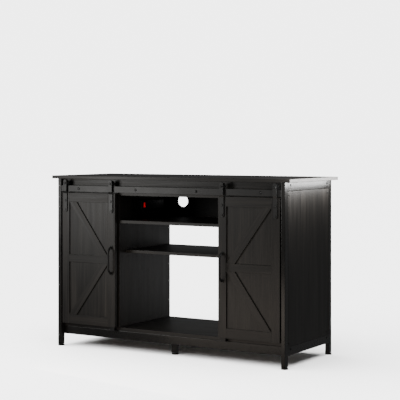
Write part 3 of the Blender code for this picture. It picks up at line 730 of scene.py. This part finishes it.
def notched_board(node, finish):
    """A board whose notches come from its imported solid."""
    return fitted(eased_copy(node, BOARD_EASE), finish, "cabinet", node)


def partition_boards():
    """Partitions notched round the fascia and both top rails, without their pins."""
    low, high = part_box("right_partition")
    middle = (low.x + high.x) / 2
    inner, outer = middle - BOARD_THICKNESS / 2, middle + BOARD_THICKNESS / 2
    right = block("right_partition_piece", (inner, low.y, low.z), (outer, high.y, high.z))
    fascia_low, fascia_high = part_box("fascia_board")
    front_low, front_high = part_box("front_top_rail")
    rear_low, rear_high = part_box("rear_top_rail")
    notches = (
        (low.y - CUT_PAST, fascia_high.y, fascia_low.z),
        (low.y - CUT_PAST, front_high.y, front_low.z),
        (rear_low.y, rear_high.y, rear_low.z),
    )
    for front, rear, under in notches:
        notch_low = (inner - CUT_PAST, front - FIT_ROOM, under - FIT_ROOM)
        notch_high = (outer + CUT_PAST, rear + FIT_ROOM, high.z + CUT_PAST)
        carve(right, block("notch", notch_low, notch_high))
    ease(right, BOARD_EASE)
    left = mirrored_copy(right, "left_partition_piece")
    fitted(right, WOOD_Z, "cabinet", "right_partition")
    fitted(left, WOOD_Z, "cabinet", "left_partition")


def side_panel_boards():
    """Each side panel without its pins, which are pieces of their own."""
    low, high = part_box("right_side_panel")
    inner = high.x - BOARD_THICKNESS
    right = ease(block("right_side_panel_piece", (inner, low.y, low.z), high), BOARD_EASE)
    left = mirrored_copy(right, "left_side_panel_piece")
    fitted(right, WOOD_Z, "cabinet", "right_side_panel")
    fitted(left, WOOD_Z, "cabinet", "left_side_panel")


def boards():
    """Every board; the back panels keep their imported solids."""
    board("top_board", WOOD_X)
    for node in ("upper_shelf", "middle_shelf", "left_cabinet_shelf", "right_cabinet_shelf"):
        board(node, WOOD_X)
    for node in ("fascia_board", "bottom_panel"):
        notched_board(node, WOOD_X)
    partition_boards()
    side_panel_boards()
    for node in ("left_back_panel", "right_back_panel", "centre_back_panel"):
        frame["nodes"][node].material_slots[0].material = BACKING


# ---------------------------------------------------------------- doors


def brace(name, start, end):
    """A diagonal batten cut level at both ends, with the right and left door's finish.

    Start and end, as X and Z, are where its outer edge meets the rails.
    """
    front, back = DOOR_FACE, DOOR_FACE + BATTEN_THICKNESS
    run = Vector((end[0] - start[0], 0, end[1] - start[1]))
    width = BRACE_WIDTH * abs(run.z) / run.length
    turn = math.atan2(run.x, run.z)
    middle_x = (start[0] + end[0] - BRACE_WIDTH) / 2
    middle = Vector((middle_x, (front + back) / 2, (start[1] + end[1]) / 2))
    half = Vector((width, back - front, run.length + BRACE_WIDTH)) / 2
    piece = block(name, middle - half, middle + half, (0, turn, 0))
    top, bottom = max(start[1], end[1]), min(start[1], end[1])
    slice_at(piece, (0, 0, top), (0, 0, 1), use_fill=True, clear_outer=True)
    slice_at(piece, (0, 0, bottom), (0, 0, -1), use_fill=True, clear_outer=True)
    words = name.replace("_", " ")
    finish = wood_finish(f"black wood, {words}", (0, -turn, 0))
    mirror_finish = wood_finish(f"black wood, left {words}", (0, turn, 0))
    return ease(piece, BATTEN_EASE), finish, mirror_finish


def door_pieces():
    """The right door's pieces, each with its finish and the left door's finish."""
    low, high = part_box("right_door")
    face, behind = DOOR_FACE, DOOR_FACE + BATTEN_THICKNESS
    panel = block("door_panel", (low.x, behind, low.z), high)
    groove_y = (low.y + high.y) / 2
    half = GUIDE_GROOVE_WIDTH / 2
    groove_low = (low.x - CUT_PAST, groove_y - half, low.z - CUT_PAST)
    groove_high = (high.x + CUT_PAST, groove_y + half, low.z + GUIDE_GROOVE_DEPTH)
    carve(panel, block("groove", groove_low, groove_high))
    ease(panel, BOARD_EASE)
    inner, outer = low.x + STILE_WIDTH, high.x - STILE_WIDTH
    middle_z = (low.z + high.z) / 2
    top, bottom = high.z - DOOR_RAIL_HEIGHT, low.z + DOOR_RAIL_HEIGHT
    mid_top, mid_bottom = middle_z + MID_RAIL_HEIGHT / 2, middle_z - MID_RAIL_HEIGHT / 2
    battens = (
        ("inner_stile", (low.x, low.z), (inner, high.z), WOOD_Z),
        ("outer_stile", (outer, low.z), (high.x, high.z), WOOD_Z),
        ("top_rail", (inner, top), (outer, high.z), WOOD_X),
        ("mid_rail", (inner, mid_bottom), (outer, mid_top), WOOD_X),
        ("bottom_rail", (inner, low.z), (outer, bottom), WOOD_X),
    )
    pieces = [(panel, WOOD_Z, WOOD_Z)]
    for name, (x_low, z_low), (x_high, z_high), finish in battens:
        piece = block(f"door_{name}", (x_low, face, z_low), (x_high, behind, z_high))
        pieces.append((ease(piece, BATTEN_EASE), finish, finish))
    pieces.append(brace("door_upper_brace", (outer, top), (inner + BRACE_WIDTH, mid_top)))
    pieces.append(brace("door_lower_brace", (outer, bottom), (inner + BRACE_WIDTH, mid_bottom)))
    return pieces


def doors():
    """The right door's pieces and their mirrored copies on the left door."""
    for piece, finish, left_finish in door_pieces():
        left = mirrored_copy(piece, f"left_{piece.name}")
        named(piece, f"right_{piece.name}")
        fitted(piece, finish, "right_door", "right_door")
        fitted(left, left_finish, "left_door", "left_door")


def both_sides(piece, name, finish, body, *node):
    """Fit a right-hand piece and its mirrored copy."""
    left = mirrored_copy(piece, f"left_{name}")
    named(piece, f"right_{name}")
    fitted(piece, finish, f"right_{body}", *(f"right_{n}" for n in node))
    fitted(left, finish, f"left_{body}", *(f"left_{n}" for n in node))


def strap(low, high, door_top):
    """A flat bar with one crank and two round ends."""
    crank = door_top - CRANK_BELOW_DOOR_TOP
    piece = block("strap", (low.x, high.y - STRAP_THICKNESS, low.z), (high.x, high.y, crank))
    pick_faces(piece, lambda middle, normal: normal.z > 0.9)
    extrude((0, -CRANK_OFFSET, CRANK_RISE))
    extrude((0, 0, high.z - crank - CRANK_RISE))
    ends = (low.z, high.z)
    pick_edges(
        piece,
        lambda middle, way: abs(way.y) > 0.9 and min(abs(middle.z - z) for z in ends) < TOUCH,
    )
    round_end = (high.x - low.x) / 2 * STRAP_END_SHARE
    bpy.ops.mesh.bevel(offset=round_end, segments=10, affect="EDGES")
    return ease(piece, METAL_EASE, 2, 40)


def wheel(low, high):
    """A wheel whose groove straddles the track."""
    middle = (low + high) / 2
    radius = (high.x - low.x) / 2
    half = (high.y - low.y) / 2
    piece = rod("wheel", (middle.x, low.y, middle.z), (0, 1, 0), 2 * half, radius, 48)
    shoulder = WHEEL_GROOVE + (half - WHEEL_GROOVE) / 2
    for side in (-1, 1):
        slice_at(piece, (0, middle.y + side * WHEEL_GROOVE, 0), (0, 1, 0))
        slice_at(piece, (0, middle.y + side * shoulder, 0), (0, 1, 0))
    pick_points(piece, lambda place: abs(place.y - middle.y) < WHEEL_GROOVE + TOUCH)
    shrink = WHEEL_ROLLING_RADIUS / radius
    bpy.ops.transform.resize(value=(shrink, 1, shrink), center_override=middle)
    for side in (-1, 1):
        pick_faces(
            piece,
            lambda place, normal: normal.y * side > 0.9 and abs(place.y - middle.y) > shoulder,
        )
        bpy.ops.mesh.inset(thickness=WHEEL_RIM)
        extrude((0, -side * WHEEL_DISH_DEPTH, 0))
        bpy.ops.mesh.inset(thickness=WHEEL_DISH_WIDTH)
        extrude((0, side * WHEEL_DISH_DEPTH, 0))
    return ease(piece, 0.0003, 2, 40)


def axle(middle, strap_face, wheel_back):
    """A bolt head in front of the strap, its shank, and a cap nut behind the wheel."""
    seat = (middle.x, strap_face, middle.z)
    nut_seat = (middle.x, wheel_back, middle.z)
    head = dome_bolt("axle_head", seat, (0, -1, 0), AXLE_HEAD_RADIUS, AXLE_HEAD_HEIGHT)
    length = wheel_back - strap_face + OVERLAP
    shank = rod("axle_shank", seat, (0, 1, 0), length, SHANK_RADIUS, 32)
    nut = rod("axle_nut", nut_seat, (0, 1, 0), AXLE_NUT_HEIGHT, AXLE_NUT_RADIUS, 6)
    pick_faces(nut, lambda place, normal: normal.y > 0.9)
    bpy.ops.mesh.inset(thickness=AXLE_NUT_RIM)
    extrude((0, AXLE_CAP_HEIGHT, 0))
    bpy.ops.transform.resize(value=(0.7, 1, 0.7), center_override=(middle.x, 0, middle.z))
    ease(nut, 0.0003, 2)
    return smooth(merged(head, shank, nut))


def door_hangers():
    """Straps, wheels, axles and strap bolts, all copied from the right door's outer set."""
    door_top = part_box("right_door")[1].z
    low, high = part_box("right_outer_hanger")
    wheel_low, wheel_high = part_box("right_outer_wheel")
    middle = (wheel_low + wheel_high) / 2
    first_strap = strap(low, high, door_top)
    first_wheel = wheel(wheel_low, wheel_high)
    first_axle = axle(middle, low.y, wheel_high.y + FIT_ROOM)
    seat = (middle.x, high.y - STRAP_THICKNESS, low.z + (high.x - low.x) / 2)
    first_bolt = hex_bolt("strap_bolt", seat, (0, -1, 0), STRAP_BOLT_RADIUS, STRAP_BOLT_HEIGHT)
    for end in ("outer", "inner"):
        move = Vector((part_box(f"right_{end}_hanger")[0].x - low.x, 0, 0))
        copy = moved_copy(first_strap, "strap_copy", move)
        both_sides(copy, f"{end}_strap", HARDWARE, "door", f"{end}_hanger")
        copy = moved_copy(first_axle, "axle_copy", move)
        both_sides(copy, f"{end}_axle", HARDWARE, "door", f"{end}_axle_bolt")
        copy = moved_copy(first_wheel, "wheel_copy", move)
        both_sides(copy, f"{end}_wheel_piece", NYLON, f"{end}_wheel", f"{end}_wheel")
        for number in range(2):
            rise = move + Vector((0, 0, number * STRAP_BOLT_PITCH))
            copy = moved_copy(first_bolt, "bolt_copy", rise)
            both_sides(copy, f"{end}_strap_bolt_{number + 1}", HARDWARE, "door")
    for used in (first_strap, first_axle, first_wheel, first_bolt):
        bpy.data.objects.remove(used)


def bent_bar(name, corners, bend, radius):
    """A round bar through corner points, each inner corner turned on a curve."""
    nothing_selected()
    bpy.ops.curve.primitive_bezier_curve_add(location=(0, 0, 0))
    bar = named(bpy.context.object, name)
    stations = [(corners[0], None)]
    for before, corner, after in zip(corners, corners[1:], corners[2:]):
        stations.append((corner + (before - corner).normalized() * bend, corner))
        stations.append((corner + (after - corner).normalized() * bend, corner))
    stations.append((corners[-1], None))
    spline = bar.data.splines[0]
    spline.bezier_points.add(len(stations) - 2)
    for number, (point, (place, corner)) in enumerate(zip(spline.bezier_points, stations)):
        point.handle_left_type = point.handle_right_type = "FREE"
        point.co = place
        point.handle_left = point.handle_right = place
        if corner is not None:
            towards = place.lerp(corner, 0.55)
            if number % 2:
                point.handle_right = towards
            else:
                point.handle_left = towards
    bar.data.dimensions = "3D"
    bar.data.resolution_u = 8
    bar.data.bevel_depth = radius
    bar.data.bevel_resolution = 6
    bar.data.use_fill_caps = True
    only(bar)
    bpy.ops.object.convert(target="MESH")
    bar = bpy.context.object
    edit(bar, "VERT")
    bpy.ops.mesh.select_all(action="SELECT")
    bpy.ops.mesh.remove_doubles(threshold=TOUCH)
    bpy.ops.mesh.normals_make_consistent(inside=False)
    object_mode()
    settle(bar)
    return bar


def door_handle():
    """A bow pull on two round feet."""
    low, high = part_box("right_handle")
    x = (low.x + high.x) / 2
    z = (low.z + high.z) / 2
    seat = high.y
    foot = HANDLE_SPACING / 2
    grip = foot - HANDLE_SLOPE
    neck = seat - HANDLE_FOOT_HEIGHT - HANDLE_RADIUS
    out = low.y + HANDLE_RADIUS
    corners = [
        Vector((x, seat - HANDLE_END_SINK, z - foot)),
        Vector((x, neck, z - foot)),
        Vector((x, out, z - grip)),
        Vector((x, out, z + grip)),
        Vector((x, neck, z + foot)),
        Vector((x, seat - HANDLE_END_SINK, z + foot)),
    ]
    bar = bent_bar("handle", corners, HANDLE_BEND, HANDLE_RADIUS)
    bar.data.shade_smooth()
    flanges = []
    for side in (-1, 1):
        start = (x, seat, z + side * foot)
        flange = rod("flange", start, (0, -1, 0), HANDLE_FOOT_HEIGHT, HANDLE_FOOT_RADIUS, 48)
        pick_faces(flange, lambda place, normal: normal.y < -0.9)
        bpy.ops.mesh.inset(thickness=HANDLE_FOOT_RIM)
        extrude((0, -HANDLE_FOOT_STEP, 0))
        flanges.append(ease(flange, 0.00025, 2))
    both_sides(merged(bar, *flanges), "handle_bow", HARDWARE, "door", "handle")


def door_guide():
    """A base screwed to the floor's front edge, with a fin that runs in the door."""
    low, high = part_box("right_door_guide")
    base_top = low.z + GUIDE_BASE_HEIGHT
    fin_back = low.y + GUIDE_FIN_THICKNESS
    guide = block("door_guide", low, (high.x, high.y, base_top))
    slice_at(guide, (0, fin_back, 0), (0, 1, 0))
    pick_faces(guide, lambda middle, normal: normal.z > 0.9 and middle.y < fin_back)
    extrude((0, 0, high.z - base_top))
    ease(guide, 0.0005)
    left = mirrored_copy(guide, "left_door_guide_piece")
    fitted(named(guide, "right_door_guide_piece"), NYLON, "cabinet", "right_door_guide")
    fitted(left, NYLON, "cabinet", "left_door_guide")


# ---------------------------------------------------------------- track


def track():
    """The flat bar and its bolts, each with a spacer in front of the fascia."""
    low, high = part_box("track_bar")
    fitted(ease(block("track_bar_piece", low, high), METAL_EASE), HARDWARE, "cabinet", "track_bar")
    bolt_low, bolt_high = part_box("track_bolt_1")
    middle = (bolt_low + bolt_high) / 2
    seat = (middle.x, low.y, middle.z)
    head = dome_bolt("track_bolt", seat, (0, -1, 0), TRACK_BOLT_RADIUS, TRACK_BOLT_HEIGHT)
    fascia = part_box("fascia_board")[0].y
    spacer = rod("spacer", (middle.x, high.y, middle.z), (0, 1, 0), fascia - high.y, SPACER_RADIUS)
    ease(spacer, 0.0005)
    start = (middle.x, fascia, middle.z)
    shank = rod("shank", start, (0, 1, 0), bolt_high.y - fascia, SHANK_RADIUS, 32)
    ease(shank, 0.0004)
    first = smooth(merged(head, spacer, shank))
    for number in range(1, 5):
        place_low, place_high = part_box(f"track_bolt_{number}")
        move = (place_low + place_high) / 2 - middle
        copy = moved_copy(first, f"track_bolt_{number}_piece", move)
        fitted(copy, HARDWARE, "cabinet", f"track_bolt_{number}")
    bpy.data.objects.remove(first)


# ---------------------------------------------------------------- shelf pins


def shelf_pins():
    """The pins that carry the loose shelves, at the partitions and side panels."""
    first = rod("pin", (0, 0, 0), (1, 0, 0), SHELF_PIN_LENGTH, SHELF_PIN_RADIUS, 32)
    ease(first, METAL_EASE)
    bay_low, bay_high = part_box("middle_shelf")
    low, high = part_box("right_cabinet_shelf")
    rows = (
        ("bay", bay_high.x + FIT_ROOM - SHELF_PIN_LENGTH, bay_low, bay_high),
        ("partition", low.x - FIT_ROOM, low, high),
        ("side", high.x + FIT_ROOM - SHELF_PIN_LENGTH, low, high),
    )
    for row, x, shelf_low, shelf_high in rows:
        z = shelf_low.z - FIT_ROOM - SHELF_PIN_RADIUS
        front, rear = shelf_low.y + SHELF_PIN_INSET, shelf_high.y - SHELF_PIN_INSET
        for end, y in (("front", front), ("rear", rear)):
            fixing_pair(first, f"{row}_{end}_pin", (x, y, z))
    bpy.data.objects.remove(first)


# ---------------------------------------------------------------- power strip


def outlet_face(name, low, high):
    """A socket face with two blade slots and a round earth hole."""
    face = block(name, low, high)
    middle = (low + high) / 2
    bottom, past = high.x - SOCKET_DEPTH, high.x + SOCKET_DEPTH
    for side in (-1, 1):
        y = middle.y + side * BLADE_OFFSET
        slot_low = (bottom, y - BLADE_HALF_WIDTH, middle.z - BLADE_LOW)
        slot_high = (past, y + BLADE_HALF_WIDTH, middle.z + BLADE_HIGH)
        carve(face, block("slot", slot_low, slot_high))
    start = (bottom, middle.y, middle.z - EARTH_DROP)
    carve(face, rod("earth", start, (1, 0, 0), 2 * SOCKET_DEPTH, EARTH_RADIUS, 32))
    return ease(face, 0.0004, 2)


def power_strip():
    """The strip on the left partition: body, outlets, switch with its bezel, and gland."""
    low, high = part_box("power_strip")
    switch_low, switch_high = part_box("power_switch")
    body_high = Vector((high.x, high.y - GLAND_LENGTH, high.z))
    body = ease(block("power_strip_body", low, body_high), STRIP_EDGE)
    room = Vector((SWITCH_ROOM, SWITCH_ROOM, SWITCH_ROOM))
    well_low = switch_low - room
    well_high = Vector((high.x, switch_high.y, switch_high.z)) + room
    carve(body, block("well", well_low, well_high))
    middle_x, z = (low.x + high.x) / 2, (low.z + high.z) / 2
    for number in range(OUTLETS):
        y = low.y + FIRST_OUTLET + number * OUTLET_PITCH
        front, rear = y - OUTLET_HALF_LENGTH, y + OUTLET_HALF_LENGTH
        under, over = z - OUTLET_HALF_HEIGHT, z + OUTLET_HALF_HEIGHT
        pocket_low = Vector((high.x - OUTLET_DEPTH, front, under))
        carve(body, block("pocket", pocket_low, (high.x + SOCKET_DEPTH, rear, over)))
        inset = Vector((0, OUTLET_FACE_ROOM, OUTLET_FACE_ROOM))
        face_high = Vector((high.x - OUTLET_FACE_SINK, rear, over))
        face = outlet_face(f"outlet_face_{number + 1}", pocket_low + inset, face_high - inset)
        fitted(face, PLASTIC)
    fitted(smooth(body), PLASTIC, "cabinet", "power_strip")
    rim = Vector((0, BEZEL_WIDTH, BEZEL_WIDTH))
    bezel_low = Vector((high.x - BEZEL_SINK, well_low.y, well_low.z)) - rim
    bezel_high = Vector((high.x + BEZEL_RISE, well_high.y, well_high.z)) + rim
    bezel = block("switch_bezel", bezel_low, bezel_high)
    carve(bezel, block("well", well_low, well_high + Vector((CUT_PAST, 0, 0))))
    fitted(ease(bezel, 0.0004, 2), PLASTIC)
    start = (middle_x, body_high.y - OVERLAP, z)
    collar = rod("cord_gland", start, (0, 1, 0), GLAND_LENGTH + OVERLAP, GLAND_RADIUS)
    pick_faces(collar, lambda place, normal: normal.y > 0.9)
    bpy.ops.transform.resize(value=(0.8, 1, 0.8), center_override=(middle_x, high.y, z))
    bpy.ops.mesh.inset(thickness=GLAND_WALL)
    extrude((0, -GLAND_BORE_DEPTH, 0))
    fitted(ease(collar, 0.0003, 2), NYLON)
    fitted(eased_copy("power_switch", 0.0006), LIT_RED, "power_switch", "power_switch")


# ---------------------------------------------------------------- camera and studio


CAMERA_PLACE = (3.0506, -4.9304, 0.9914)
CAMERA_TURN = math.radians(31.31)
CAMERA_LENS = 107.9
CAMERA_SHIFT = -0.138

AREA_LIGHTS = (
    # name, place, aimed at, width and height, watts, colour
    ("key", (-1.086, -1.472, 0.781), (-0.3, -0.2, 0.6), (0.6, 0.5), 7.8, (1.0, 0.985, 0.96)),
    ("low fill", (0.12, -0.89, 0.12), (0.26, -0.2, 0.25), (1.0, 0.3), 1.4, (1.0, 0.86, 0.74)),
    ("side", (0.724, -0.025, 0.85), (0.63, -0.030, 0.85), (0.74, 0.1), 4.1, (1, 1, 1)),
    ("rear fill", (0.3, 1.15, 0.30), (-0.1, 0.2, 0.35), (0.6, 0.5), 0.6, (1, 1, 1)),
)
FLOOR_SUN = 17
SOFT_LIGHT = 0.15
BACKDROP = 4.5


def add_camera():
    """A level camera in front of the stand's right end, with a long lens."""
    bpy.ops.object.camera_add(location=CAMERA_PLACE)
    camera = bpy.context.object
    camera.rotation_euler = (math.radians(90), 0, CAMERA_TURN)
    camera.data.lens = CAMERA_LENS
    camera.data.sensor_width = 36
    camera.data.shift_y = CAMERA_SHIFT
    bpy.context.scene.camera = camera


def area_light(name, location, target, size, power, colour):
    """A rectangular light aimed at a point and hidden from the camera."""
    direction = Vector(target) - Vector(location)
    turn = direction.to_track_quat("-Z", "Y").to_euler()
    bpy.ops.object.light_add(type="AREA", location=location, rotation=turn)
    light = bpy.context.object
    light.name = name
    light.data.shape = "RECTANGLE"
    light.data.size, light.data.size_y = size
    light.data.energy = power
    light.data.color = colour
    light.visible_camera = False


def floor_finish():
    made = bpy.data.materials.new("pale floor")
    made.use_nodes = True
    shader = made.node_tree.nodes["Principled BSDF"]
    shader.inputs["Base Color"].default_value = (0.92, 0.92, 0.92, 1)
    shader.inputs["Roughness"].default_value = 0.9
    return made


def studio_world():
    """A white backdrop that lights the stand only softly."""
    world = bpy.data.worlds.new("pale studio")
    world.use_nodes = True
    tree = world.node_tree
    soft = tree.nodes["Background"]
    white = (1, 1, 1, 1)
    set_inputs(soft, Color=white, Strength=SOFT_LIGHT)
    backdrop = set_inputs(add_node(tree, "ShaderNodeBackground"), Color=white, Strength=BACKDROP)
    seen = add_node(tree, "ShaderNodeLightPath")
    choice = add_node(tree, "ShaderNodeMixShader")
    tree.links.new(seen.outputs["Is Camera Ray"], choice.inputs[0])
    tree.links.new(soft.outputs[0], choice.inputs[1])
    tree.links.new(backdrop.outputs[0], choice.inputs[2])
    tree.links.new(choice.outputs[0], tree.nodes["World Output"].inputs["Surface"])
    bpy.context.scene.world = world


def studio_floor():
    """A pale floor with a light of its own, so that it is white under a black stand."""
    nothing_selected()
    bpy.ops.mesh.primitive_plane_add(size=60, location=(0, 0, 0))
    floor = named(bpy.context.object, "studio_floor")
    floor.data.materials.append(floor_finish())
    floor.visible_diffuse = False
    floor.visible_glossy = False
    bpy.ops.object.light_add(type="SUN", rotation=(math.radians(18), math.radians(-12), 0))
    light = bpy.context.object
    light.name = "floor light"
    light.data.energy = FLOOR_SUN
    light.data.angle = math.radians(100)
    lit = bpy.data.collections.new("lit floor")
    lit.objects.link(floor)
    light.light_linking.receiver_collection = lit


def add_studio():
    studio_world()
    studio_floor()
    for light in AREA_LIGHTS:
        area_light(*light)


DOOR_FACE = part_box("right_door")[0].y

steel_frame()
rail_bolts()
panel_screws()
levelling_feet()
boards()
doors()
door_hangers()
door_handle()
door_guide()
track()
shelf_pins()
power_strip()
add_camera()
add_studio()
